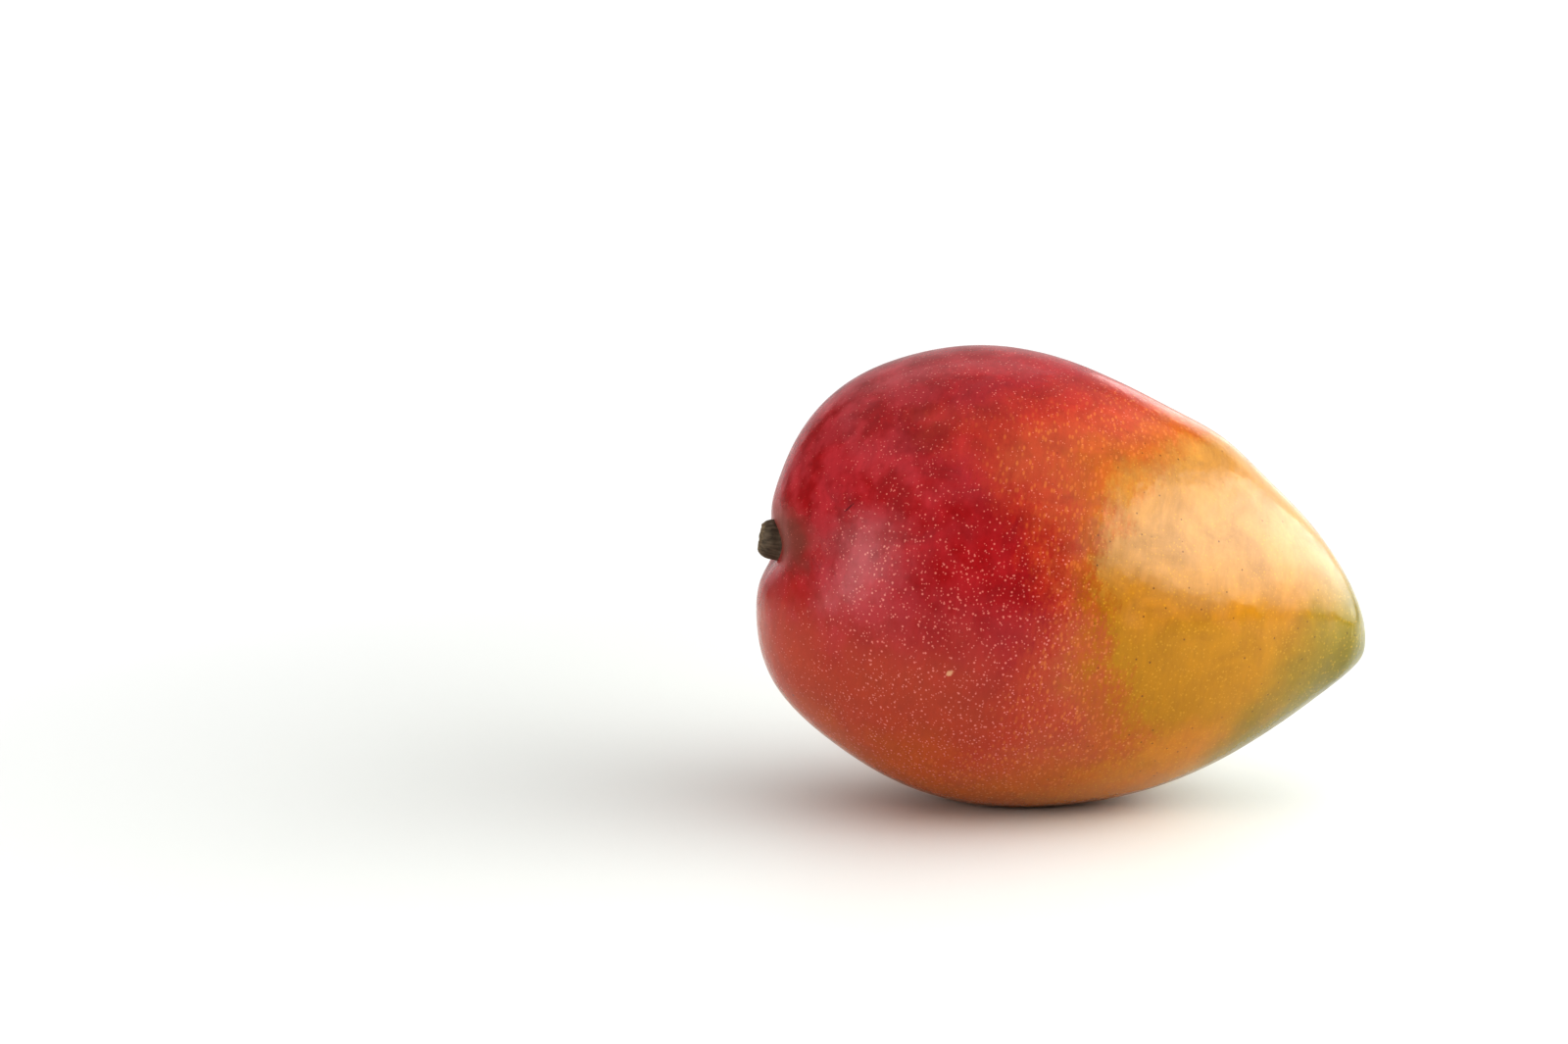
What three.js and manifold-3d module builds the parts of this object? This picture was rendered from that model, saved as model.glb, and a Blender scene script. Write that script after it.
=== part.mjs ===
// A whole mango lying on its side, with the short woody stub of its stem.
// Millimetres. +Z is up and +X runs towards the pointed end of the fruit. The origin is
// the centre of the small flat spot that the fruit rests on.

import * as THREE from 'three';
import { mergeVertices } from 'three/addons/utils/BufferGeometryUtils.js';
import Module from 'manifold-3d';

const wasm = await Module();
wasm.setup();

// Driving dimensions of the fruit. Its core line runs from the stem end to the tip.
const coreLength = 125.5;
const coreDip = THREE.MathUtils.degToRad(10); // the tip lies lower than the stem end
const stemEnd = new THREE.Vector3(-53.2, 0, 52.8); // where the core line starts

// The fruit is an ellipsoid whose radii change along the core line. Each list has seven
// values, evenly spaced in polar angle from the stem end to the tip.
const halfHeight = [74, 61, 51, 45, 38, 28, 22];
const halfWidth = [56, 51, 45.5, 41.5, 36, 27, 21.5];
const rise = [3, 4, 3, 1.5, 2, 5.5, 7]; // how far each section sits above the core line

// Hollows and swellings in the ellipsoid: the centre, reach and push of each one, as
// distances [along the core line, upwards, to the far side].
const features = {
  stemCavity: { at: [0, 0.6, 0], reach: [14, 3.2, 4.4], push: [3.4, 0, 0] },
  nearValley: { at: [0, 2.2, -10], reach: [14, 4, 6], push: [2.6, 0, 0] },
  nearValleyRunOut: { at: [8, 4, -26], reach: [8, 6, 8], push: [0.6, 0, 1] },
  valleyFloor: { at: [0, -4, -8], reach: [14, 3.6, 10], push: [0.9, 0, 0] },
  farValley: { at: [0, -2.5, 10], reach: [14, 3, 6], push: [1.5, 0, 0] },
  backTurn: { at: [88, 38.5, 0], reach: [6, 8, 14], push: [0.3, 0.8, 0] },
  backFlat: { at: [100, 27, 0], reach: [6, 8, 14], push: [-0.2, -0.4, 0] },
  tipRidge: { at: [121, 3, -8], reach: [2.5, 8, 3], push: [0.3, 0, -0.6] },
  nearCheek: { at: [35, -12, -36], reach: [20, 14, 12], push: [0, 0, -0.8] },
  farCheek: { at: [50, 10, 38], reach: [22, 16, 12], push: [0, 0, 0.8] },
};

// Driving dimensions of the stem stub
const stemRadius = 4.1;
const stemLength = 7; // from inside the cavity to its broken end
const stemStart = 6.4; // how far along the core line its foot lies
const stemRise = 1.6; // its axis lies this far above the core line
const stemFlare = 0.9; // extra radius at the foot
const stemGap = 0.3; // clearance between the stub and the fruit

// Mesh resolution
const fruitSegments = 72;
const fruitRings = 44;
const ringCrowding = 1.2; // above 1 packs the rings towards the stem end
const stemSegments = 28;

const along = new THREE.Vector3(Math.cos(coreDip), 0, -Math.sin(coreDip));
const upward = new THREE.Vector3(Math.sin(coreDip), 0, Math.cos(coreDip));
const sideways = new THREE.Vector3(0, 1, 0);

// Turns distances along, above and beside the core line into a point in space
function fromCore(alongCore, above, beside) {
  return stemEnd.clone()
    .addScaledVector(along, alongCore)
    .addScaledVector(upward, above)
    .addScaledVector(sideways, beside);
}

// The smoothest curve through evenly spaced values that is level at both ends: a cosine series
function smoothThrough(values, angle) {
  const last = values.length - 1;
  const endWeight = (index) => (index === 0 || index === last ? 0.5 : 1);
  let height = 0;
  for (let wave = 0; wave <= last; wave += 1) {
    let share = 0;
    values.forEach((value, index) => {
      share += endWeight(index) * value * Math.cos((wave * index * Math.PI) / last);
    });
    height += (2 / last) * endWeight(wave) * share * Math.cos(wave * angle);
  }
  return height;
}

// A point of the fruit's skin, at a polar angle from the stem end and an angle around the core
function skinPoint(polar, around) {
  const ring = Math.sin(polar);
  const height = smoothThrough(halfHeight, polar) * Math.cos(around);
  const smooth = [
    (coreLength / 2) * (1 - Math.cos(polar)),
    ring * (smoothThrough(rise, polar) + height),
    ring * smoothThrough(halfWidth, polar) * Math.sin(around),
  ];
  const shaped = [...smooth];
  for (const { at, reach, push } of Object.values(features)) {
    const distances = smooth.map((value, axis) => (value - at[axis]) / reach[axis]);
    const strength = Math.exp(-0.5 * distances.reduce((sum, d) => sum + d * d, 0));
    push.forEach((amount, axis) => {
      shaped[axis] += strength * amount;
    });
  }
  return fromCore(...shaped);
}

// The fruit's whole skin, from a sphere whose pole is the stem end
function skinGeometry() {
  const geometry = new THREE.SphereGeometry(1, fruitSegments, fruitRings);
  const position = geometry.attributes.position;
  const corner = new THREE.Vector3();
  for (let i = 0; i < position.count; i += 1) {
    corner.fromBufferAttribute(position, i);
    const evenPolar = Math.acos(THREE.MathUtils.clamp(corner.y, -1, 1));
    const polar = Math.PI * (evenPolar / Math.PI) ** ringCrowding;
    const around = Math.atan2(-corner.z, corner.x);
    const point = skinPoint(polar, around);
    position.setXYZ(i, point.x, point.y, point.z);
  }
  return geometry;
}

// Keeps only the corner positions, so that corners in the same place are shared
function weld(geometry) {
  const bare = geometry.clone();
  bare.deleteAttribute('normal');
  bare.deleteAttribute('uv');
  return mergeVertices(bare, 1e-4);
}

function toSolid(geometry) {
  const welded = weld(geometry);
  return new wasm.Manifold(new wasm.Mesh({
    numProp: 3,
    vertProperties: new Float32Array(welded.attributes.position.array),
    triVerts: new Uint32Array(welded.index.array),
  }));
}

function toGeometry(solid) {
  const { numProp, vertProperties, triVerts } = solid.getMesh();
  const geometry = new THREE.BufferGeometry();
  geometry.setAttribute('position', new THREE.BufferAttribute(vertProperties, numProp));
  geometry.setIndex(new THREE.BufferAttribute(triVerts, 1));
  geometry.computeVertexNormals();
  return geometry;
}

// Moves every corner outwards along its own normal
function swell(geometry, distance) {
  const swollen = weld(geometry);
  swollen.computeVertexNormals();
  const position = swollen.attributes.position;
  const normal = swollen.attributes.normal;
  for (let i = 0; i < position.count; i += 1) {
    position.setXYZ(
      i,
      position.getX(i) + distance * normal.getX(i),
      position.getY(i) + distance * normal.getY(i),
      position.getZ(i) + distance * normal.getZ(i),
    );
  }
  swollen.deleteAttribute('normal');
  return swollen;
}

// Skin, flesh and stone grew as one piece, with a flat spot where the fruit rests
function fruit() {
  const floor = new THREE.BoxGeometry(2 * coreLength, 2 * coreLength, coreLength);
  floor.translate(0, 0, -coreLength / 2);
  const solid = toSolid(skinGeometry()).subtract(toSolid(floor));
  const mesh = new THREE.Mesh(
    toGeometry(solid),
    new THREE.MeshStandardMaterial({ color: '#b8432a', roughness: 0.35, metalness: 0 }),
  );
  mesh.name = 'fruit';
  return mesh;
}

// The stub left where the fruit was picked: a flared foot, a short neck and a domed end
function stem() {
  const foot = stemRadius + stemFlare;
  const profile = [
    new THREE.Vector2(0, 0),
    new THREE.Vector2(foot, 0),
    new THREE.Vector2(foot, 0.15 * stemLength),
    new THREE.Vector2(stemRadius, 0.5 * stemLength),
    new THREE.Vector2(stemRadius, 0.8 * stemLength),
    new THREE.Vector2(0.8 * stemRadius, 0.96 * stemLength),
    new THREE.Vector2(0, stemLength),
  ];
  const stub = new THREE.LatheGeometry(profile, stemSegments);
  const outwards = along.clone().negate();
  stub.applyQuaternion(new THREE.Quaternion().setFromUnitVectors(new THREE.Vector3(0, 1, 0), outwards));
  const start = fromCore(stemStart, stemRise, 0);
  stub.translate(start.x, start.y, start.z);
  const solid = toSolid(stub).subtract(toSolid(swell(skinGeometry(), stemGap)));
  const mesh = new THREE.Mesh(
    toGeometry(solid),
    new THREE.MeshStandardMaterial({ color: '#5a4630', roughness: 0.8, metalness: 0 }),
  );
  mesh.name = 'stem';
  return mesh;
}

const group = new THREE.Group();
group.add(fruit(), stem());

export default group;
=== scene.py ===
# A whole mango lying on its side, with a short stem stub, on a white studio floor
# Blender 4.5, metres. The sizes in the dictionaries are millimetres unless they say otherwise
import math

import bmesh
import bpy
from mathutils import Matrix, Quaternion, Vector, noise


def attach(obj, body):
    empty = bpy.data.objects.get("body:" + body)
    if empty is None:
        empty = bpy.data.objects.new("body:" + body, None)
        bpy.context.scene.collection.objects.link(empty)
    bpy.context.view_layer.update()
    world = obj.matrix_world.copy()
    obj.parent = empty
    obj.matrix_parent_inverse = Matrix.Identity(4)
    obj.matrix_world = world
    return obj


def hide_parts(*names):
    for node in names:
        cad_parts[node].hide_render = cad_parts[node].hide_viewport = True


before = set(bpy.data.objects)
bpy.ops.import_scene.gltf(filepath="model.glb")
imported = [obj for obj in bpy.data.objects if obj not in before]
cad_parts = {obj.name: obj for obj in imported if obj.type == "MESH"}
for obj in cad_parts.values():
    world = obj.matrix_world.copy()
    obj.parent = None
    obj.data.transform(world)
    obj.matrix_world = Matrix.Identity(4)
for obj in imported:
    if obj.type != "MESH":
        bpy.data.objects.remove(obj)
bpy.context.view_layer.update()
mm = 0.001


def linearColour(hexCode, alpha=1.0):
    # sRGB hex to the linear values that Blender mixes in
    channels = [int(hexCode[i:i + 2], 16) / 255 for i in (1, 3, 5)]
    linear = [c / 12.92 if c <= 0.04045 else ((c + 0.055) / 1.055) ** 2.4 for c in channels]
    return (*linear, alpha)


def addNode(tree, kind, inputs=None, **settings):
    # a node with its settings, and its inputs either linked or set to a value
    node = tree.nodes.new(kind)
    for name, value in settings.items():
        setattr(node, name, value)
    for name, value in (inputs or {}).items():
        if isinstance(value, bpy.types.NodeSocket):
            tree.links.new(value, node.inputs[name])
        else:
            node.inputs[name].default_value = value
    return node


def newMaterial(name):
    material = bpy.data.materials.new(name)
    material.use_nodes = True
    material.node_tree.nodes.clear()
    return material


def addPiece(name, bm, material):
    mesh = bpy.data.meshes.new(name)
    bm.to_mesh(mesh)
    bm.free()
    mesh.materials.append(material)
    for face in mesh.polygons:
        face.use_smooth = True
    piece = bpy.data.objects.new(name, mesh)
    bpy.context.scene.collection.objects.link(piece)
    return piece


fruitShape = {
    "coreLength": 125.5,  # stem end to tip
    "coreDip": 10,  # degrees, the tip lies lower than the stem end
    "stemEnd": (-53.2, 0, 52.8),
    # seven values from the stem end to the tip, evenly spaced in polar angle
    "halfHeight": (74, 61, 51, 45, 38, 28, 22),
    "halfWidth": (56, 51, 45.5, 41.5, 36, 27, 21.5),
    "rise": (3, 4, 3, 1.5, 2, 5.5, 7),
    # hollows and swellings: place, reach and push, as (along the core, upwards, to the far side)
    "features": {
        "stemCavity": ((0, 0.6, 0), (14, 3.2, 4.4), (3.4, 0, 0)),
        "nearValley": ((0, 2.2, -10), (14, 4, 6), (2.6, 0, 0)),
        "nearValleyRunOut": ((8, 4, -26), (8, 6, 8), (0.6, 0, 1)),
        "valleyFloor": ((0, -4, -8), (14, 3.6, 10), (0.9, 0, 0)),
        "farValley": ((0, -2.5, 10), (14, 3, 6), (1.5, 0, 0)),
        "backTurn": ((88, 38.5, 0), (6, 8, 14), (0.3, 0.8, 0)),
        "backFlat": ((100, 27, 0), (6, 8, 14), (-0.2, -0.4, 0)),
        "tipRidge": ((121, 3, -8), (2.5, 8, 3), (0.3, 0, -0.6)),
        "nearCheek": ((35, -12, -36), (20, 14, 12), (0, 0, -0.8)),
        "farCheek": ((50, 10, 38), (22, 16, 12), (0, 0, 0.8)),
    },
    "unevenness": 0.12,  # gentle waviness of a grown surface
    "unevennessSize": 16,
    "flatSoftness": 0.3,  # how softly the skin turns into the flat spot
    "facesAlongEdge": 110,  # of each side of the cube that the skin is made from
}

coreDip = math.radians(fruitShape["coreDip"])
alongCore = Vector((math.cos(coreDip), 0, -math.sin(coreDip)))
aboveCore = Vector((math.sin(coreDip), 0, math.cos(coreDip)))
besideCore = Vector((0, 1, 0))
stemEnd = Vector(fruitShape["stemEnd"])


def fromCore(along, above, beside):
    return stemEnd + along * alongCore + above * aboveCore + beside * besideCore


def smoothThrough(values):
    # a curve of cosine waves through evenly spaced values, level at both ends
    last = len(values) - 1
    endWeight = [0.5 if i in (0, last) else 1 for i in range(last + 1)]
    shares = []
    for wave in range(last + 1):
        share = 0
        for i in range(last + 1):
            share += endWeight[i] * values[i] * math.cos(wave * i * math.pi / last)
        shares.append(2 / last * endWeight[wave] * share)
    return lambda angle: sum(share * math.cos(wave * angle) for wave, share in enumerate(shares))


def buildFruit(material):
    halfHeight = smoothThrough(fruitShape["halfHeight"])
    halfWidth = smoothThrough(fruitShape["halfWidth"])
    rise = smoothThrough(fruitShape["rise"])
    bm = bmesh.new()
    bmesh.ops.create_cube(bm, size=2)
    cuts = fruitShape["facesAlongEdge"] - 1
    bmesh.ops.subdivide_edges(bm, edges=bm.edges[:], cuts=cuts, use_grid_fill=True)
    for vert in bm.verts:
        # equal angles between the grid lines, so the faces come out nearly even
        direction = Vector([math.tan(c * math.pi / 4) for c in vert.co]).normalized()
        polar = math.acos(max(-1, min(1, -direction.x)))
        around = math.atan2(direction.y, direction.z)
        ring = math.sin(polar)
        smooth = (
            fruitShape["coreLength"] / 2 * (1 - math.cos(polar)),
            ring * (rise(polar) + halfHeight(polar) * math.cos(around)),
            ring * halfWidth(polar) * math.sin(around),
        )
        shaped = Vector(smooth)
        for place, reach, push in fruitShape["features"].values():
            squares = sum(((s - p) / r) ** 2 for s, p, r in zip(smooth, place, reach))
            shaped += math.exp(-0.5 * squares) * Vector(push)
        wave = noise.noise(shaped / fruitShape["unevennessSize"]) * fruitShape["unevenness"]
        point = fromCore(*shaped) + wave * direction
        soft = fruitShape["flatSoftness"]
        point.z = 0.5 * (point.z + math.sqrt(point.z ** 2 + soft ** 2))
        vert.co = point * mm
    bmesh.ops.recalc_face_normals(bm, faces=bm.faces[:])
    return addPiece("mangoFruit", bm, material)


# Ripe mango peel: pigmented skin under a waxy cuticle, grown and not polished. It gives a soft but
# clear gloss, a crimson blush over golden ground colour, and pale lenticels, the pores of the peel
skinLook = {
    "roughness": (0.14, 0.26),  # where the wax is thick, and where it is thin
    "waxRange": (0.38, 0.62),  # the part of the cloud pattern over which the wax gets thicker
    "waxIor": 1.45,
    # the pale ground colour is partly paler skin and partly a painted highlight on the upper side
    "ground": {
        "mustard": "#a97705", "ochre": "#b8781b", "pale": "#ae803f", "olive": "#7d6a05", "green": "#66601a",
    },
    "blush": {
        "amber": "#aa6018", "orange": "#ae5434", "scarlet": "#ac4028",
        "crimson": "#992226", "deep": "#8e0d12",
        "rose": "#ae3940", "brick": "#a44128",
    },
    "belly": "#b36009",

    # for each height above the core: how far along it the blush reaches, and how far it takes to fade
    "blushEdge": {
        -45: (46, 40), -37: (50, 40), -30: (59, 38), -21: (66, 32), -11: (65, 24), 0: (62, 16),
        11: (59, 15), 22: (58, 24), 33: (55, 42), 40: (70, 50), 45: (86, 50), 50: (98, 42),
    },
    "farSide": {"from": -5, "to": 35, "reach": -14},  # the cheek that grew in the shade is less blushed
    # what makes the edge of the blush uneven: size along and around the fruit, and shift
    "edgePatterns": {
        "clouds": (20, 20, 5), "blotches": (5, 6, 1.6), "fibres": (0.8, 2.6, 2), "grain": (0.6, 0.6, 1.6),
    },
    "edgeNoise": {"detail": 3, "roughness": 0.6, "range": (0.3, 0.7)},

    # where each colour starts and where it is full. Large patches shift that to and fro
    "patches": {"size": 14, "detail": 3},
    "ochreZone": {"middle": -4, "from": 8, "to": 22, "shift": 40},
    # the pale zone is partly paler skin and partly a painted highlight on the upper side
    "paleSkinAndHighlightZone": {"from": 4, "to": 18, "shift": 30, "most": 0.8, "goneAt": 50, "backAt": 38},
    "tipZone": {"shift": -18, "perHeight": -0.5, "perSide": 0.4, "olive": (90, 110), "green": (105, 123)},
    "lowSide": {"from": 4, "to": -20, "shift": 24},
    "bellyZone": {"from": -24, "to": -44, "most": 0.8},
    "deepPatches": {"size": 8, "detail": 4, "roughness": 0.6, "from": 0.45, "to": 0.7, "most": 0.6},
    "bloom": {"from": 0.6, "to": 0.42, "goneAt": 50, "fullAt": 14, "most": 0.85},
    # how far into the blush each of its colours starts and is full
    "blushSteps": {"amber": (0.0, 0.3), "orange": (0.2, 0.6), "scarlet": (0.5, 0.9), "red": (0.75, 1.25)},

    # fine fibres and larger clouds that lighten and darken the skin. The clouds are fainter low down
    "fibres": {
        "density": (1.1, 0.25, 0.25), "detail": 4, "roughness": 0.65, "range": (0.35, 0.65), "shade": 0.05,
    },
    "clouds": {
        "size": 9, "detail": 6, "roughness": 0.66, "distortion": 0.7, "range": (0.35, 0.65),
        "heights": (-4, 8), "shade": (0.05, 0.15),
    },

    # the share of a pore's radius that is its plain middle is the core, and the rest is its soft rim
    "pores": {
        "large": {"spacing": 1.2, "radius": 0.31, "strength": 0.6},
        "small": {"spacing": 0.8, "radius": 0.21, "strength": 0.55},
        "core": 0.4,
        "onBlush": "#dc9284",
        "onGround": "#d4a62e",
        "groundStrength": 0.55,  # they show less on the ground colour
        "nearStem": {"from": 4, "to": 24, "size": 0.6},
        "upperSide": {"from": 8, "to": 32, "size": 0.72},
    },
    "redness": (0.1, 0.7),  # how far into the blush the pores and specks change
    # drawn out round the fruit, and seen only where the blush starts and before it is full
    "flecks": {
        "spacing": 1.0, "radius": 0.38, "strength": 0.5, "colour": "#cc7c3e", "density": (1, 0.5, 0.5),
        "fades": ((0.0, 0.3), (1.1, 0.7)),
    },
    "specks": {
        "spacing": 2.6, "radius": 0.28, "core": 0.5, "strength": 0.65, "onBlush": 0.25, "colour": "#3f2410",
    },

    # single marks, and a painted highlight on the tip ridge: from, to (along, beside, above), radius,
    # strength
    "marksAndTipGlint": {
        "scar": ((39, -40.4, -11.7), (39.8, -40, -10.6), 0.6, 0.8, "#cfa27c"),
        "scarTail": ((39.6, -40.2, -10.9), (41.2, -40.4, -10), 0.3, 0.5, "#cfa27c"),
        "scratch": ((14.1, -28.8, 14.6), (15.7, -29.5, 16.9), 0.28, 0.75, "#5a1018"),
        "bellySpeck": ((11.1, -14.4, -26.6), (11.3, -14.6, -26.6), 0.4, 0.8, "#4a1a10"),
        # a painted highlight: a pale line along the ridge at the tip
        "tipRidgeGlint": ((120.8, -10.4, 3.2), (119.5, -9, 9.8), 0.35, 0.4, "#b7a654"),
    },
    "ragged": {"density": 1.6, "detail": 2, "goneAt": 1.6, "fullAt": 1.0},  # the edges of the marks
    # dull brown skin in the hollow round the stem, partly its own olive-brown tint and partly painted shade
    # of the hollow, most on the near side: centre and reach (along, beside, above)
    "hollow": {
        "centre": (5, -13, 5.5), "reach": (10, 19, 7.5), "colour": "#63402e", "strength": 0.65,
        "roughness": 0.5, "density": 0.3, "detail": 4, "shift": 0.6, "goneAt": 1.5, "fullAt": 0.6,
    },
    "relief": {"dimples": {"size": 0.9, "height": 0.014}, "waves": {"size": 5, "height": 0.15}},
    "reliefDetail": 2,
}


def fruitPlace(tree):
    # millimetres along, beside and above the core line
    coords = addNode(tree, "ShaderNodeTexCoord")
    return addNode(tree, "ShaderNodeMapping", {
        "Vector": coords.outputs["Object"],
        "Location": stemEnd * mm,
        "Rotation": (0, coreDip, 0),
        "Scale": (mm, mm, mm),
    }, vector_type="TEXTURE").outputs["Vector"]


def blushAmount(tree, place):
    # 0.5 where the blush ends, over 1 well inside it
    look = skinLook
    split = addNode(tree, "ShaderNodeSeparateXYZ", {"Vector": place})
    along, beside, above = (split.outputs[axis] for axis in "XYZ")
    heights = list(look["blushEdge"])
    lowest, highest = heights[0], heights[-1]
    height = addNode(tree, "ShaderNodeMapRange", {
        "Value": above, "From Min": lowest, "From Max": highest,
    }).outputs[0]
    curveTop = 125  # the millimetres that the full height of a curve stands for
    edge = []
    # one curve for the reach and one for the fade
    for part in (0, 1):
        node = addNode(tree, "ShaderNodeFloatCurve", {"Value": height})
        curve = node.mapping.curves[0]
        points = []
        for h in heights:
            points.append(((h - lowest) / (highest - lowest), look["blushEdge"][h][part] / curveTop))
        for point in points[1:-1]:
            curve.points.new(*point)
        for dot, point in zip(curve.points, points):
            dot.location = point
        node.mapping.update()
        edge.append(addNode(tree, "ShaderNodeMath", {
            0: node.outputs[0], 1: curveTop,
        }, operation="MULTIPLY").outputs[0])
    reach, fade = edge

    farSide = look["farSide"]
    shaded = addNode(tree, "ShaderNodeMapRange", {
        "Value": beside, "From Min": farSide["from"], "From Max": farSide["to"], "To Max": farSide["reach"],
    }, interpolation_type="SMOOTHSTEP").outputs[0]
    reach = addNode(tree, "ShaderNodeMath", {0: reach, 1: shaded}, operation="ADD").outputs[0]
    grain = look["edgeNoise"]
    lowNoise, highNoise = grain["range"]
    for sizeAlong, sizeAround, shift in look["edgePatterns"].values():
        stretched = addNode(tree, "ShaderNodeVectorMath", {
            0: place, 1: (1 / sizeAlong, 1 / sizeAround, 1 / sizeAround),
        }, operation="MULTIPLY").outputs["Vector"]
        value = addNode(tree, "ShaderNodeTexNoise", {
            "Vector": stretched, "Scale": 1, "Detail": grain["detail"], "Roughness": grain["roughness"],
        }).outputs["Fac"]
        moved = addNode(tree, "ShaderNodeMapRange", {
            "Value": value, "From Min": lowNoise, "From Max": highNoise, "To Min": -shift, "To Max": shift,
        }).outputs[0]
        reach = addNode(tree, "ShaderNodeMath", {0: reach, 1: moved}, operation="ADD").outputs[0]
    inside = addNode(tree, "ShaderNodeMath", {0: reach, 1: along}, operation="SUBTRACT").outputs[0]
    inside = addNode(tree, "ShaderNodeMath", {0: inside, 1: fade}, operation="DIVIDE").outputs[0]
    return addNode(tree, "ShaderNodeMath", {0: inside, 1: 0.5}, operation="ADD").outputs[0]


def skinClouds(tree, place):
    # the same pattern serves for the larger clouds and for the wax
    clouds = skinLook["clouds"]
    return addNode(tree, "ShaderNodeTexNoise", {
        "Vector": place, "Scale": 1 / clouds["size"], "Detail": clouds["detail"],
        "Roughness": clouds["roughness"], "Distortion": clouds["distortion"],
    }).outputs["Fac"]


def groundColour(tree, centred, along, beside, above):
    # mustard on the middle, ochre above and below it, and paler on the upper side, partly paler skin and
    # partly a painted highlight
    hues = skinLook["ground"]
    zone = skinLook["ochreZone"]
    lift = addNode(tree, "ShaderNodeMath", {0: above, 1: zone["middle"]}, operation="SUBTRACT").outputs[0]
    lift = addNode(tree, "ShaderNodeMath", {0: lift}, operation="ABSOLUTE").outputs[0]
    lift = addNode(tree, "ShaderNodeMath", {
        0: centred, 1: zone["shift"], 2: lift,
    }, operation="MULTIPLY_ADD").outputs[0]
    toOchre = addNode(tree, "ShaderNodeMapRange", {
        "Value": lift, "From Min": zone["from"], "From Max": zone["to"],
    }).outputs[0]
    colour = addNode(tree, "ShaderNodeMix", {
        0: toOchre, 6: linearColour(hues["mustard"]), 7: linearColour(hues["ochre"]),
    }, data_type="RGBA").outputs[2]

    # paler on the upper side: partly paler skin, partly a painted highlight
    zone = skinLook["paleSkinAndHighlightZone"]
    lightened = addNode(tree, "ShaderNodeMath", {
        0: centred, 1: zone["shift"], 2: above,
    }, operation="MULTIPLY_ADD").outputs[0]
    lightened = addNode(tree, "ShaderNodeMapRange", {
        "Value": lightened, "From Min": zone["from"], "From Max": zone["to"], "To Max": zone["most"],
    }, interpolation_type="SMOOTHSTEP").outputs[0]
    belowCrest = addNode(tree, "ShaderNodeMapRange", {
        "Value": above, "From Min": zone["goneAt"], "From Max": zone["backAt"],
    }).outputs[0]
    lightened = addNode(tree, "ShaderNodeMath", {
        0: lightened, 1: belowCrest,
    }, operation="MULTIPLY").outputs[0]
    colour = addNode(tree, "ShaderNodeMix", {
        0: lightened, 6: colour, 7: linearColour(hues["pale"]),
    }, data_type="RGBA").outputs[2]

    # greener to the tip, more so on the lower side and round to the far side
    zone = skinLook["tipZone"]
    towardsTip = along
    for push, amount in ((centred, zone["shift"]), (above, zone["perHeight"]), (beside, zone["perSide"])):
        towardsTip = addNode(tree, "ShaderNodeMath", {
            0: push, 1: amount, 2: towardsTip,
        }, operation="MULTIPLY_ADD").outputs[0]
    for name in ("olive", "green"):
        start, full = zone[name]
        amount = addNode(tree, "ShaderNodeMapRange", {
            "Value": towardsTip, "From Min": start, "From Max": full,
        }, interpolation_type="SMOOTHSTEP").outputs[0]
        colour = addNode(tree, "ShaderNodeMix", {
            0: amount, 6: colour, 7: linearColour(hues[name]),
        }, data_type="RGBA").outputs[2]
    return colour


def fullBlush(tree, place, along, lowered):
    # crimson with deeper patches, and brick red on the lower side
    hues = skinLook["blush"]
    zone = skinLook["lowSide"]
    lowSide = addNode(tree, "ShaderNodeMapRange", {
        "Value": lowered, "From Min": zone["from"], "From Max": zone["to"],
    }, interpolation_type="SMOOTHSTEP").outputs[0]
    red = addNode(tree, "ShaderNodeMix", {
        0: lowSide, 6: linearColour(hues["crimson"]), 7: linearColour(hues["brick"]),
    }, data_type="RGBA").outputs[2]
    high = addNode(tree, "ShaderNodeMath", {0: 1.0, 1: lowSide}, operation="SUBTRACT").outputs[0]

    zone = skinLook["deepPatches"]
    depths = addNode(tree, "ShaderNodeTexNoise", {
        "Vector": place, "Scale": 1 / zone["size"],
        "Detail": zone["detail"], "Roughness": zone["roughness"],
    }).outputs["Fac"]
    deep = addNode(tree, "ShaderNodeMapRange", {
        "Value": depths, "From Min": zone["from"], "From Max": zone["to"], "To Max": zone["most"],
    }).outputs[0]
    deep = addNode(tree, "ShaderNodeMath", {0: deep, 1: high}, operation="MULTIPLY").outputs[0]
    red = addNode(tree, "ShaderNodeMix", {
        0: deep, 6: red, 7: linearColour(hues["deep"]),
    }, data_type="RGBA").outputs[2]

    # a thin bloom on the wax near the stem, between the deep patches
    zone = skinLook["bloom"]
    bloom = addNode(tree, "ShaderNodeMapRange", {
        "Value": depths, "From Min": zone["from"], "From Max": zone["to"],
    }).outputs[0]
    nearStem = addNode(tree, "ShaderNodeMapRange", {
        "Value": along, "From Min": zone["goneAt"], "From Max": zone["fullAt"], "To Max": zone["most"],
    }).outputs[0]
    for share in (nearStem, high):
        bloom = addNode(tree, "ShaderNodeMath", {0: bloom, 1: share}, operation="MULTIPLY").outputs[0]
    return addNode(tree, "ShaderNodeMix", {
        0: bloom, 6: red, 7: linearColour(hues["rose"]),
    }, data_type="RGBA").outputs[2]


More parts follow.
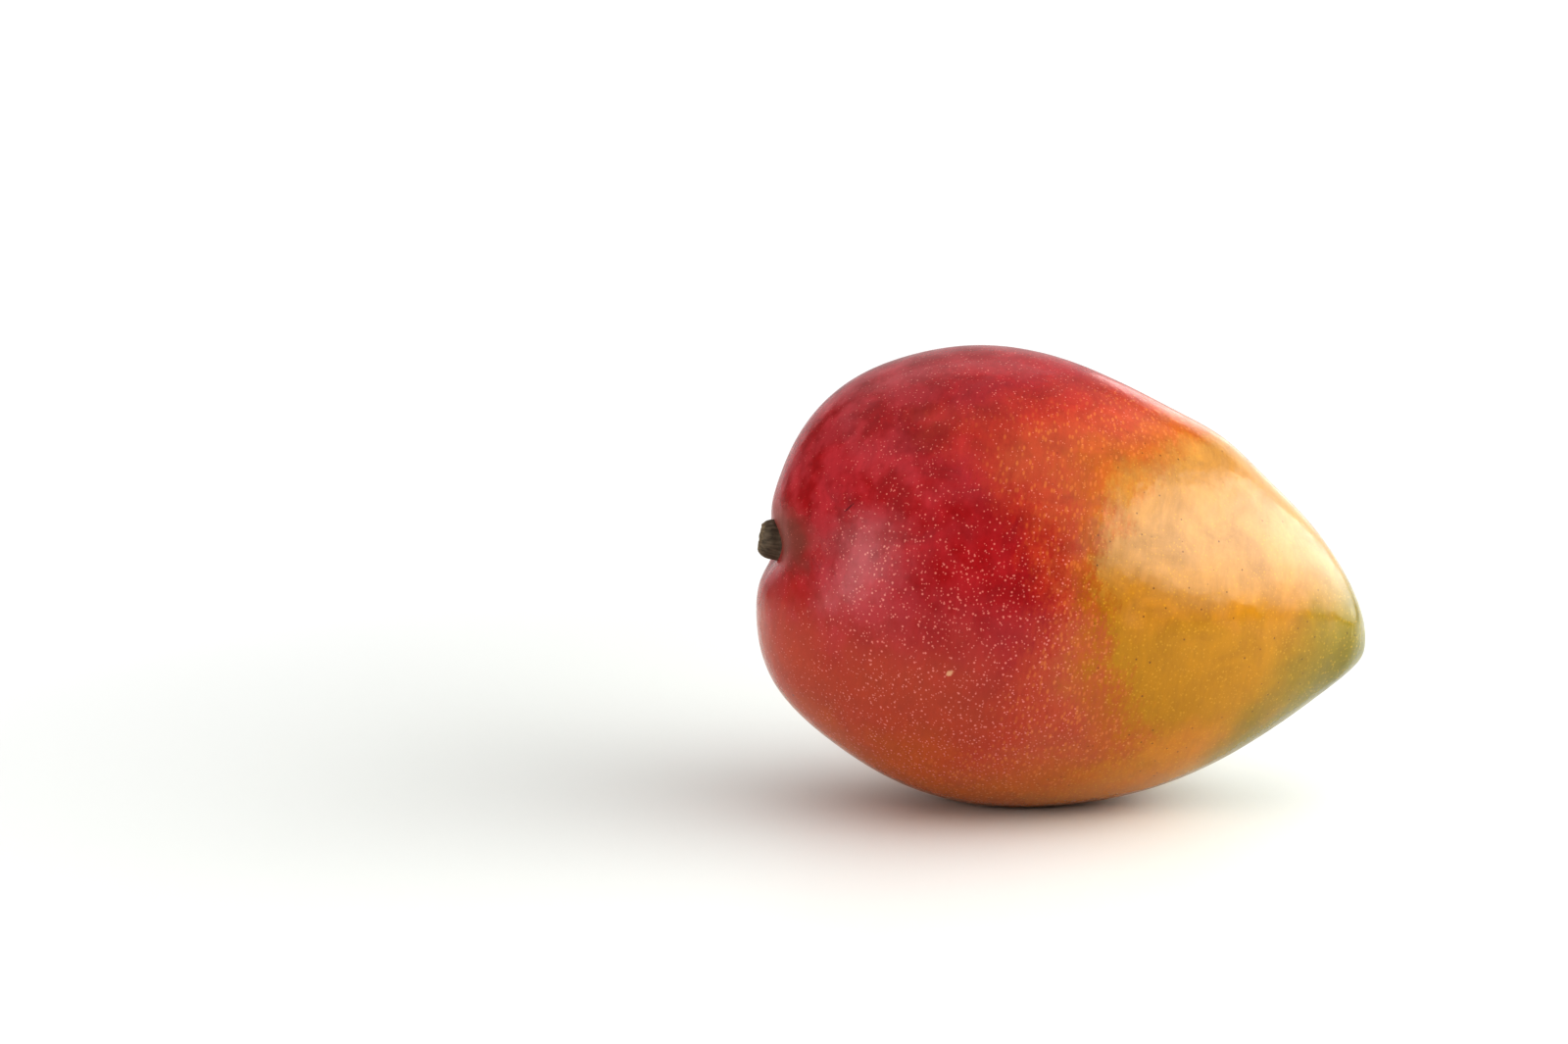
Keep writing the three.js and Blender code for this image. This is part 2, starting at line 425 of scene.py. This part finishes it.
def unevenShade(tree, place, above, colour):
    # fine fibres run round the fruit and make the colour uneven, and so do larger clouds
    fibres = skinLook["fibres"]
    stretched = addNode(tree, "ShaderNodeVectorMath", {
        0: place, 1: fibres["density"],
    }, operation="MULTIPLY").outputs["Vector"]
    value = addNode(tree, "ShaderNodeTexNoise", {
        "Vector": stretched, "Scale": 1, "Detail": fibres["detail"], "Roughness": fibres["roughness"],
    }).outputs["Fac"]
    low, high = fibres["range"]
    shade = addNode(tree, "ShaderNodeMapRange", {
        "Value": value, "From Min": low, "From Max": high,
        "To Min": 1 - fibres["shade"], "To Max": 1 + fibres["shade"],
    }).outputs[0]
    colour = addNode(tree, "ShaderNodeVectorMath", {
        0: colour, "Scale": shade,
    }, operation="SCALE").outputs["Vector"]

    clouds = skinLook["clouds"]
    lowest, highest = clouds["heights"]
    faint, strong = clouds["shade"]
    strength = addNode(tree, "ShaderNodeMapRange", {
        "Value": above, "From Min": lowest, "From Max": highest, "To Min": faint, "To Max": strong,
    }).outputs[0]
    low, high = clouds["range"]
    shade = addNode(tree, "ShaderNodeMapRange", {
        "Value": skinClouds(tree, place), "From Min": low, "From Max": high, "To Min": -1, "To Max": 1,
    }).outputs[0]
    shade = addNode(tree, "ShaderNodeMath", {
        0: shade, 1: strength, 2: 1.0,
    }, operation="MULTIPLY_ADD").outputs[0]
    return addNode(tree, "ShaderNodeVectorMath", {
        0: colour, "Scale": shade,
    }, operation="SCALE").outputs["Vector"]


def peelColour(tree, place, blushed):
    look = skinLook
    split = addNode(tree, "ShaderNodeSeparateXYZ", {"Vector": place})
    along, beside, above = (split.outputs[axis] for axis in "XYZ")
    patches = addNode(tree, "ShaderNodeTexNoise", {
        "Vector": place, "Scale": 1 / look["patches"]["size"], "Detail": look["patches"]["detail"],
    }).outputs["Fac"]
    centred = addNode(tree, "ShaderNodeMath", {0: patches, 1: 0.5}, operation="SUBTRACT").outputs[0]
    lowered = addNode(tree, "ShaderNodeMath", {
        0: centred, 1: look["lowSide"]["shift"], 2: above,
    }, operation="MULTIPLY_ADD").outputs[0]
    colour = groundColour(tree, centred, along, beside, above)

    # the blush, from its amber edge to full red
    red = fullBlush(tree, place, along, lowered)
    for name, (start, full) in look["blushSteps"].items():
        amount = addNode(tree, "ShaderNodeMapRange", {
            "Value": blushed, "From Min": start, "From Max": full,
        }).outputs[0]
        hue = red if name == "red" else linearColour(look["blush"][name])
        colour = addNode(tree, "ShaderNodeMix", {0: amount, 6: colour, 7: hue}, data_type="RGBA").outputs[2]

    # the belly is orange brown
    zone = look["bellyZone"]
    belly = addNode(tree, "ShaderNodeMapRange", {
        "Value": lowered, "From Min": zone["from"], "From Max": zone["to"], "To Max": zone["most"],
    }).outputs[0]
    colour = addNode(tree, "ShaderNodeMix", {
        0: belly, 6: colour, 7: linearColour(look["belly"]),
    }, data_type="RGBA").outputs[2]
    return unevenShade(tree, place, above, colour)


def withPores(tree, place, blushed, colour):
    # lenticels: a random point in each small cell, drawn where it lies close to the skin
    look = skinLook
    pores = look["pores"]
    split = addNode(tree, "ShaderNodeSeparateXYZ", {"Vector": place})
    start, full = look["redness"]
    redness = addNode(tree, "ShaderNodeMapRange", {
        "Value": blushed, "From Min": start, "From Max": full,
    }).outputs[0]
    poreColour = addNode(tree, "ShaderNodeMix", {
        0: redness, 6: linearColour(pores["onGround"]), 7: linearColour(pores["onBlush"]),
    }, data_type="RGBA").outputs[2]
    visible = addNode(tree, "ShaderNodeMapRange", {
        "Value": redness, "To Min": pores["groundStrength"],
    }).outputs[0]
    # they are finer round the stem and on the upper side
    stemSide, upperSide = pores["nearStem"], pores["upperSide"]
    finer = addNode(tree, "ShaderNodeMapRange", {
        "Value": split.outputs["X"], "From Min": stemSide["from"], "From Max": stemSide["to"],
        "To Min": stemSide["size"], "To Max": 1,
    }).outputs[0]
    onTop = addNode(tree, "ShaderNodeMapRange", {
        "Value": split.outputs["Z"], "From Min": upperSide["from"], "From Max": upperSide["to"],
        "To Min": 1, "To Max": upperSide["size"],
    }).outputs[0]
    finer = addNode(tree, "ShaderNodeMath", {0: finer, 1: onTop}, operation="MULTIPLY").outputs[0]
    for kind in (pores["large"], pores["small"]):
        cells = addNode(tree, "ShaderNodeTexVoronoi", {"Vector": place, "Scale": 1 / kind["spacing"]})
        near = addNode(tree, "ShaderNodeMath", {
            0: cells.outputs["Distance"], 1: finer,
        }, operation="DIVIDE").outputs[0]
        rim = kind["radius"] / kind["spacing"]
        pore = addNode(tree, "ShaderNodeMapRange", {
            "Value": near, "From Min": rim, "From Max": rim * pores["core"], "To Max": kind["strength"],
        }, interpolation_type="SMOOTHSTEP").outputs[0]
        pore = addNode(tree, "ShaderNodeMath", {0: pore, 1: visible}, operation="MULTIPLY").outputs[0]
        colour = addNode(tree, "ShaderNodeMix", {
            0: pore, 6: colour, 7: poreColour,
        }, data_type="RGBA").outputs[2]

    # where the blush fades they are drawn out round the fruit and show the ground colour
    flecks = look["flecks"]
    drawnOut = addNode(tree, "ShaderNodeVectorMath", {
        0: place, 1: flecks["density"],
    }, operation="MULTIPLY").outputs["Vector"]
    cells = addNode(tree, "ShaderNodeTexVoronoi", {"Vector": drawnOut, "Scale": 1 / flecks["spacing"]})
    rim = flecks["radius"] / flecks["spacing"]
    fleck = addNode(tree, "ShaderNodeMapRange", {
        "Value": cells.outputs["Distance"], "From Min": rim, "From Max": rim * pores["core"],
        "To Max": flecks["strength"],
    }, interpolation_type="SMOOTHSTEP").outputs[0]
    for start, full in flecks["fades"]:
        fading = addNode(tree, "ShaderNodeMapRange", {
            "Value": blushed, "From Min": start, "From Max": full,
        }).outputs[0]
        fleck = addNode(tree, "ShaderNodeMath", {0: fleck, 1: fading}, operation="MULTIPLY").outputs[0]
    colour = addNode(tree, "ShaderNodeMix", {
        0: fleck, 6: colour, 7: linearColour(flecks["colour"]),
    }, data_type="RGBA").outputs[2]

    # a few dark specks, most of them on the ground colour
    specks = look["specks"]
    cells = addNode(tree, "ShaderNodeTexVoronoi", {"Vector": place, "Scale": 1 / specks["spacing"]})
    rim = specks["radius"] / specks["spacing"]
    speck = addNode(tree, "ShaderNodeMapRange", {
        "Value": cells.outputs["Distance"], "From Min": rim, "From Max": rim * specks["core"],
        "To Max": specks["strength"],
    }, interpolation_type="SMOOTHSTEP").outputs[0]
    onGround = addNode(tree, "ShaderNodeMapRange", {
        "Value": redness, "To Min": 1, "To Max": specks["onBlush"],
    }).outputs[0]
    speck = addNode(tree, "ShaderNodeMath", {0: speck, 1: onGround}, operation="MULTIPLY").outputs[0]
    return addNode(tree, "ShaderNodeMix", {
        0: speck, 6: colour, 7: linearColour(specks["colour"]),
    }, data_type="RGBA").outputs[2]


def stemHollow(tree, place):
    # 1 where the skin round the stem is dull and painted brown, partly as shade of the hollow, and 0 away
    # from it
    hollow = skinLook["hollow"]
    local = addNode(tree, "ShaderNodeMapping", {
        "Vector": place, "Location": hollow["centre"], "Scale": hollow["reach"],
    }, vector_type="TEXTURE").outputs["Vector"]
    away = addNode(tree, "ShaderNodeVectorMath", {0: local}, operation="LENGTH").outputs["Value"]
    patches = addNode(tree, "ShaderNodeTexNoise", {
        "Vector": place, "Scale": hollow["density"], "Detail": hollow["detail"],
    }).outputs["Fac"]
    away = addNode(tree, "ShaderNodeMath", {
        0: patches, 1: hollow["shift"], 2: away,
    }, operation="MULTIPLY_ADD").outputs[0]
    return addNode(tree, "ShaderNodeMapRange", {
        "Value": away, "From Min": hollow["goneAt"], "From Max": hollow["fullAt"],
    }, interpolation_type="SMOOTHSTEP").outputs[0]


def withMarksAndTipGlint(tree, place, colour):
    # each mark, and the painted highlight on the tip ridge, is the part of the skin inside a stretched ball
    # with a ragged edge
    edge = skinLook["ragged"]
    ragged = addNode(tree, "ShaderNodeTexNoise", {
        "Vector": place, "Scale": edge["density"], "Detail": edge["detail"],
    }).outputs["Fac"]
    for start, end, radius, strength, hexCode in skinLook["marksAndTipGlint"].values():
        start, end = Vector(start), Vector(end)
        local = addNode(tree, "ShaderNodeMapping", {
            "Vector": place,
            "Location": (start + end) / 2,
            "Rotation": (end - start).to_track_quat("X", "Z").to_euler(),
            "Scale": ((end - start).length / 2 + radius, radius, radius),
        }, vector_type="TEXTURE").outputs["Vector"]
        away = addNode(tree, "ShaderNodeVectorMath", {0: local}, operation="LENGTH").outputs["Value"]
        away = addNode(tree, "ShaderNodeMath", {0: away, 1: ragged}, operation="ADD").outputs[0]
        mark = addNode(tree, "ShaderNodeMapRange", {
            "Value": away, "From Min": edge["goneAt"], "From Max": edge["fullAt"], "To Max": strength,
        }, interpolation_type="SMOOTHSTEP").outputs[0]
        colour = addNode(tree, "ShaderNodeMix", {
            0: mark, 6: colour, 7: linearColour(hexCode),
        }, data_type="RGBA").outputs[2]
    return colour


def buildSkinMaterial():
    look = skinLook
    material = newMaterial("waxyMangoPeel")
    tree = material.node_tree
    place = fruitPlace(tree)
    blushed = blushAmount(tree, place)
    colour = peelColour(tree, place, blushed)
    hollow = stemHollow(tree, place)
    # the brown round the stem is partly the skin's own tint and partly painted shade of the hollow
    brownTintAndPaintedShade = addNode(tree, "ShaderNodeMath", {
        0: hollow, 1: look["hollow"]["strength"],
    }, operation="MULTIPLY").outputs[0]
    colour = addNode(tree, "ShaderNodeMix", {
        0: brownTintAndPaintedShade, 6: colour, 7: linearColour(look["hollow"]["colour"]),
    }, data_type="RGBA").outputs[2]
    colour = withPores(tree, place, blushed, colour)
    colour = withMarksAndTipGlint(tree, place, colour)

    # a skin that is slightly dimpled all over, under wax of uneven thickness
    reliefs = []
    for pattern in look["relief"].values():
        value = addNode(tree, "ShaderNodeTexNoise", {
            "Vector": place, "Scale": 1 / pattern["size"], "Detail": look["reliefDetail"],
        }).outputs["Fac"]
        reliefs.append(addNode(tree, "ShaderNodeMath", {
            0: value, 1: pattern["height"] * mm,
        }, operation="MULTIPLY").outputs[0])
    relief = addNode(tree, "ShaderNodeMath", {0: reliefs[0], 1: reliefs[1]}, operation="ADD").outputs[0]
    bump = addNode(tree, "ShaderNodeBump", {"Height": relief, "Strength": 1, "Distance": 1}).outputs[0]
    thinWax, thickWax = look["waxRange"]
    smooth, rough = look["roughness"]
    roughness = addNode(tree, "ShaderNodeMapRange", {
        "Value": skinClouds(tree, place), "From Min": thinWax, "From Max": thickWax,
        "To Min": rough, "To Max": smooth,
    }).outputs[0]
    roughness = addNode(tree, "ShaderNodeMix", {
        0: hollow, 2: roughness, 3: look["hollow"]["roughness"],
    }).outputs[0]
    skin = addNode(tree, "ShaderNodeBsdfPrincipled", {
        "Base Color": colour, "Roughness": roughness, "IOR": look["waxIor"], "Normal": bump,
    })
    addNode(tree, "ShaderNodeOutputMaterial", {"Surface": skin.outputs[0]})
    return material


# The stub of the stem: dry wood with a grooved bark, snapped off across the grain
stemShape = {
    "radius": 4.0,
    "length": 7,
    "start": 6.4,  # how far along the core its foot lies
    "rise": 1.6,  # and how far above the core
    "flare": 1.1,
    "flareShare": 0.25,  # of the length, over which the foot narrows to the neck
    "lumps": {3: (0.05, 0.6), 7: (0.02, 0)},  # how many around the stub: how high, and how far turned
    "grooves": {"depth": 0.3, "density": 3.2, "drift": 0.9},  # along the bark
    "splinters": {"height": 0.35, "size": 1.1},  # unevenness of the broken end
    "rounding": {"share": 0.45, "narrowing": 0.3, "sharpness": 2.5},  # the share is of the length
    "rings": 60,
    "endShare": 0.25,  # of the rings, which close the broken end
    "segments": 144,
}
stemLook = {
    "bark": ("#463c30", "#6c6050"),
    "brokenEnd": ("#54473a", "#85745c"),
    "barkStops": (0.7, 0.3),  # from the end: where the bark starts to give way, and where it is gone
    "grain": {"length": 5, "width": 0.5, "detail": 5, "height": 0.12},
    "blots": {"density": 0.5, "detail": 4},
    "shadeRange": (0.75, 1.2),  # of grain and blots together, from dark to light
    "roughness": 0.72,
    "ior": 1.45,
}


def buildStemMaterial():
    # dead dry wood: greyish brown bark with no shine, paler where it broke
    look = stemLook
    material = newMaterial("dryStemWood")
    tree = material.node_tree
    place = fruitPlace(tree)
    grain = look["grain"]
    stretched = addNode(tree, "ShaderNodeVectorMath", {
        0: place, 1: (1 / grain["length"], 1 / grain["width"], 1 / grain["width"]),
    }, operation="MULTIPLY").outputs["Vector"]
    streaks = addNode(tree, "ShaderNodeTexNoise", {
        "Vector": stretched, "Scale": 1, "Detail": grain["detail"],
    }).outputs["Fac"]
    blots = addNode(tree, "ShaderNodeTexNoise", {
        "Vector": place, "Scale": look["blots"]["density"], "Detail": look["blots"]["detail"],
    }).outputs["Fac"]
    mixed = addNode(tree, "ShaderNodeMath", {0: streaks, 1: blots}, operation="ADD").outputs[0]
    darkest, lightest = look["shadeRange"]
    shade = addNode(tree, "ShaderNodeMapRange", {
        "Value": mixed, "From Min": darkest, "From Max": lightest,
    }).outputs[0]
    colours = []
    for dark, light in (look["bark"], look["brokenEnd"]):
        colours.append(addNode(tree, "ShaderNodeMix", {
            0: shade, 6: linearColour(dark), 7: linearColour(light),
        }, data_type="RGBA").outputs[2])
    along = addNode(tree, "ShaderNodeSeparateXYZ", {"Vector": place}).outputs["X"]
    end = stemShape["start"] - stemShape["length"]
    giving, gone = look["barkStops"]
    broken = addNode(tree, "ShaderNodeMapRange", {
        "Value": along, "From Min": end + giving, "From Max": end + gone,
    }).outputs[0]
    colour = addNode(tree, "ShaderNodeMix", {
        0: broken, 6: colours[0], 7: colours[1],
    }, data_type="RGBA").outputs[2]
    relief = addNode(tree, "ShaderNodeMath", {
        0: streaks, 1: grain["height"] * mm,
    }, operation="MULTIPLY").outputs[0]
    bump = addNode(tree, "ShaderNodeBump", {"Height": relief, "Strength": 1, "Distance": 1}).outputs[0]
    wood = addNode(tree, "ShaderNodeBsdfPrincipled", {
        "Base Color": colour, "Roughness": look["roughness"], "IOR": look["ior"], "Normal": bump,
    })
    addNode(tree, "ShaderNodeOutputMaterial", {"Surface": wood.outputs[0]})
    return material


def buildStem(material):
    shape = stemShape
    grooves, splinters, rounding = shape["grooves"], shape["splinters"], shape["rounding"]
    bodyShare = 1 - shape["endShare"]
    bm = bmesh.new()
    foot = fromCore(shape["start"], shape["rise"], 0)
    rows = []
    for i in range(shape["rings"] + 1):
        # the last rings close the end, which is nearly flat
        t = min(1, i / (shape["rings"] * bodyShare))
        inwards = max(0, i / shape["rings"] - bodyShare) / shape["endShare"]
        flare = shape["flare"] * math.exp(-((t / shape["flareShare"]) ** 2))
        corner = max(0, (t - 1 + rounding["share"]) / rounding["share"])
        rounded = 1 - rounding["narrowing"] * corner ** rounding["sharpness"]
        row = []
        for j in range(shape["segments"]):
            turn = 2 * math.pi * j / shape["segments"]
            around = Vector((math.cos(turn), math.sin(turn), 0))
            lumpy = 1
            for count, (high, lean) in shape["lumps"].items():
                lumpy += high * math.cos(count * turn + lean)
            drift = Vector((0, 0, t * grooves["drift"]))
            groove = noise.noise(around * grooves["density"] + drift) * grooves["depth"]
            radius = ((shape["radius"] + flare) * lumpy + groove) * rounded * (1 - inwards)
            out = radius * around
            splinter = noise.noise(out / splinters["size"]) * splinters["height"]
            height = t * shape["length"] + splinter * corner
            offset = out.x * aboveCore + out.y * besideCore
            row.append(bm.verts.new((foot - height * alongCore + offset) * mm))
        rows.append(row)
    for lower, upper in zip(rows, rows[1:]):
        for j in range(shape["segments"]):
            k = (j + 1) % shape["segments"]
            bm.faces.new((lower[j], lower[k], upper[k], upper[j]))
    bm.faces.new(rows[0])
    # the last ring is a single point
    bmesh.ops.remove_doubles(bm, verts=bm.verts[:], dist=0.001 * mm)
    bmesh.ops.recalc_face_normals(bm, faces=bm.faces[:])
    return addPiece("mangoStem", bm, material)


# The studio: a white sweep, a large soft box on the right, a dimmer one low on the left, a small
# one behind on the right, a lit white wall behind and a wide diffuser overhead
studio = {
    "floorSize": 8000,
    "floorWhite": "#e4e6e2",  # a touch cool, which balances the warm light from the fruit
    "floorRoughness": 0.45,
    "floorGlow": (120, 340),  # where the sweep starts to glow, and where it is evenly white
    "glow": 0.74,
    # azimuth 0 is the camera's side, 90 the right. Height is that of the middle. A box is brighter in
    # its core than at its edge: radiance gives the two, and core is the share of the size it has
    "boxes": {
        "rightBox": {
            "azimuth": 84, "distance": 500, "height": 295, "size": (1460, 520), "roll": -8,
            "shape": "ELLIPSE", "radiance": (2.3, 4.5), "core": 0.4, "layers": 4,
        },
        "leftBox": {
            "azimuth": -62, "distance": 600, "height": 110, "size": (800, 430), "roll": 38,
            "shape": "ELLIPSE", "radiance": (0.4, 2.6), "core": 0.3, "layers": 4,
        },
        "rightBack": {
            "azimuth": 150, "distance": 700, "height": 190, "size": (400, 400), "roll": 0,
            "shape": "ELLIPSE", "radiance": (0.8, 0.8), "core": 1, "layers": 1,
        },
        "backWall": {
            "azimuth": 184, "distance": 700, "height": 640, "size": (720, 1260), "roll": 0,
            "shape": "RECTANGLE", "radiance": (0.33, 0.33), "core": 1, "layers": 1,
        },
    },
    "layerGap": 2,  # between the layers of a box
    # light that fills the shadows from the left but is too soft to show in the wax
    "leftFill": {
        "azimuth": -61, "distance": 620, "height": 80, "size": (720, 366), "roll": 38, "radiance": 1.9,
    },
    # its fill doesn't show in the wax either, and hangs a little lower
    "overhead": {"height": 900, "size": (2000, 2000), "radiance": 0.36, "fill": 0.26, "fillGap": 5},
    "room": 0.14,
    "camera": {"lens": 85, "sensor": 36, "distance": 755.6, "elevation": 10, "aim": (-48.6, 0, 57.7)},
    "contrast": "High Contrast",  # a plain display with a camera's contrast
}


def addSoftBox(name, shape, size, radiance, place, facing, roll=0, glossy=True):
    light = bpy.data.lights.new(name, "AREA")
    light.shape = shape
    light.size, light.size_y = (side * mm for side in size)
    area = light.size * light.size_y * (math.pi / 4 if shape == "ELLIPSE" else 1)
    light.energy = radiance * math.pi * area
    lamp = bpy.data.objects.new(name, light)
    bpy.context.scene.collection.objects.link(lamp)
    lamp.location = Vector(place) * mm
    lamp.rotation_mode = "QUATERNION"
    aimed = Vector(facing).to_track_quat("-Z", "Y")
    lamp.rotation_quaternion = aimed @ Quaternion((0, 0, 1), math.radians(roll))
    lamp.visible_camera = False
    lamp.visible_glossy = glossy


def facingFruit(light):
    # the direction from the fruit to an upright light, and the height of its middle
    turn = math.radians(light["azimuth"])
    outward = Vector((math.sin(turn), -math.cos(turn), 0))
    return outward, Vector((0, 0, light["height"]))


def addUprightBox(name, box):
    # each layer is a little nearer than the last, because of two in one plane only one is reflected
    outward, up = facingFruit(box)
    edge, centre = box["radiance"]
    steps = max(1, box["layers"] - 1)
    for i in range(box["layers"]):
        share = 1 - (1 - box["core"]) * i / steps
        size = [side * share for side in box["size"]]
        radiance = edge if i == 0 else (centre - edge) / steps
        place = outward * (box["distance"] - studio["layerGap"] * i) + up
        addSoftBox(name, box["shape"], size, radiance, place, -outward, box["roll"])


def buildFloor():
    # white acrylic sweep: bare white near the fruit, evenly bright further out
    material = newMaterial("whiteSweep")
    tree = material.node_tree
    coords = addNode(tree, "ShaderNodeTexCoord").outputs["Object"]
    far = addNode(tree, "ShaderNodeVectorMath", {0: coords}, operation="LENGTH").outputs["Value"]
    start, end = studio["floorGlow"]
    glow = addNode(tree, "ShaderNodeMapRange", {
        "Value": far, "From Min": start * mm, "From Max": end * mm,
    }, interpolation_type="SMOOTHSTEP").outputs[0]
    seen = addNode(tree, "ShaderNodeLightPath").outputs["Is Camera Ray"]
    glow = addNode(tree, "ShaderNodeMath", {0: glow, 1: seen}, operation="MULTIPLY").outputs[0]
    white = addNode(tree, "ShaderNodeBsdfPrincipled", {
        "Base Color": linearColour(studio["floorWhite"]), "Roughness": studio["floorRoughness"],
    })
    lit = addNode(tree, "ShaderNodeEmission", {"Color": (1, 1, 1, 1), "Strength": studio["glow"]})
    sweep = addNode(tree, "ShaderNodeMixShader", {0: glow, 1: white.outputs[0], 2: lit.outputs[0]})
    addNode(tree, "ShaderNodeOutputMaterial", {"Surface": sweep.outputs[0]})
    bm = bmesh.new()
    bmesh.ops.create_grid(bm, x_segments=1, y_segments=1, size=studio["floorSize"] / 2 * mm)
    addPiece("studioFloor", bm, material)


def buildRoom():
    # plain white where the room is seen, nearly dark where it lights the fruit
    world = bpy.data.worlds.new("whiteRoom")
    world.use_nodes = True
    tree = world.node_tree
    tree.nodes.clear()
    seen = addNode(tree, "ShaderNodeLightPath").outputs["Is Camera Ray"]
    strength = addNode(tree, "ShaderNodeMix", {0: seen, 2: studio["room"], 3: 1.0}).outputs[0]
    back = addNode(tree, "ShaderNodeBackground", {"Color": (1, 1, 1, 1), "Strength": strength})
    addNode(tree, "ShaderNodeOutputWorld", {"Surface": back.outputs[0]})
    bpy.context.scene.world = world


def buildLights():
    for name, box in studio["boxes"].items():
        addUprightBox(name, box)
    fill = studio["leftFill"]
    outward, up = facingFruit(fill)
    place = outward * fill["distance"] + up
    addSoftBox(
        "leftFill", "ELLIPSE", fill["size"], fill["radiance"], place, -outward, fill["roll"], glossy=False,
    )
    above = studio["overhead"]
    down = (0, 0, -1)
    place = (0, 0, above["height"])
    addSoftBox("overhead", "RECTANGLE", above["size"], above["radiance"], place, down)
    place = (0, 0, above["height"] - above["fillGap"])
    addSoftBox("overheadFill", "RECTANGLE", above["size"], above["fill"], place, down, glossy=False)


def buildCamera():
    view = studio["camera"]
    data = bpy.data.cameras.new("camera")
    data.lens = view["lens"]
    data.sensor_width = view["sensor"]
    camera = bpy.data.objects.new("camera", data)
    bpy.context.scene.collection.objects.link(camera)
    tilt = math.radians(view["elevation"])
    away = Vector((0, -math.cos(tilt), math.sin(tilt)))
    camera.location = (Vector(view["aim"]) + view["distance"] * away) * mm
    camera.rotation_mode = "QUATERNION"
    camera.rotation_quaternion = (-away).to_track_quat("-Z", "Y")
    bpy.context.scene.camera = camera
    bpy.context.scene.view_settings.view_transform = "Standard"
    bpy.context.scene.view_settings.look = studio["contrast"]


fruit = buildFruit(buildSkinMaterial())
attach(fruit, "root")
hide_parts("fruit")
print("fruit: " + str(len(fruit.data.polygons)) + " faces")

stem = buildStem(buildStemMaterial())
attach(stem, "root")
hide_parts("stem")
print("stem built")

buildFloor()
buildRoom()
buildLights()
buildCamera()
print("studio built")
